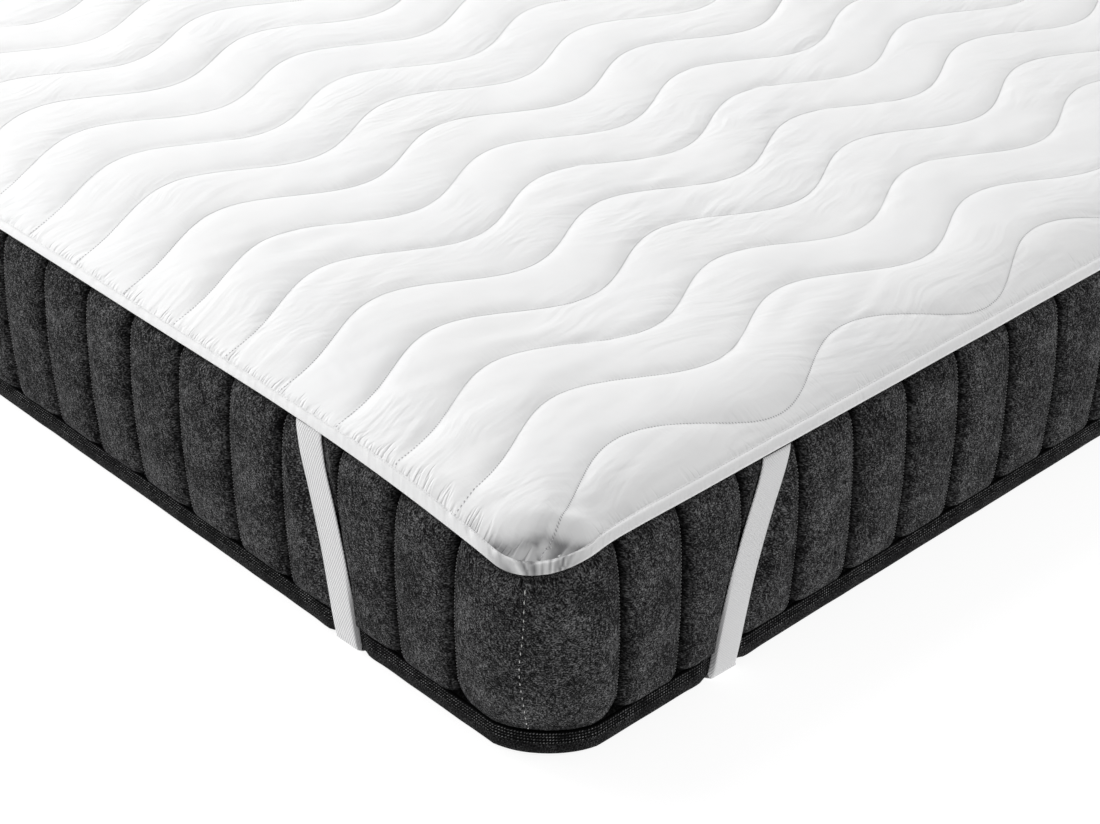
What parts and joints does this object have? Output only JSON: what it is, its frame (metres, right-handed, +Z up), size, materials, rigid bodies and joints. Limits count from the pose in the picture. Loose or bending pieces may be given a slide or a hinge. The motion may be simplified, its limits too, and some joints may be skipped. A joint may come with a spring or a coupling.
{
  "type": "quilted mattress protector on a mattress",
  "caption": "White wave-quilted mattress protector with bound edge and elastic corner bands, lying on a plain dark mattress with puffed sides.",
  "frame": {"origin": "middle of the mattress on its flat underside", "axes": "+Z up out of the pad, +Y along the length, +X along the width"},
  "size_m": [1.421, 2.021, 0.2165],
  "materials": {
    "pad_cloth": "smooth white microfibre, quilted in waves",
    "binding_cloth": "white plain-woven strip, lightly gathered along its stitching",
    "elastic_cloth": "white woven elastic with a fine twill",
    "mattress_cloth": "charcoal marled knit, soft and matt",
    "tape_cloth": "black knitted tape with raised rows"
  },
  "bodies": {
    "root": {"quilted_pad": "pad_cloth", "edge_binding": "binding_cloth", "corner_elastic_front_right": "elastic_cloth", "corner_elastic_front_left": "elastic_cloth", "corner_elastic_back_right": "elastic_cloth", "corner_elastic_back_left": "elastic_cloth", "mattress_body": "mattress_cloth", "mattress_tape": "tape_cloth"}
  },
  "joints": []
}
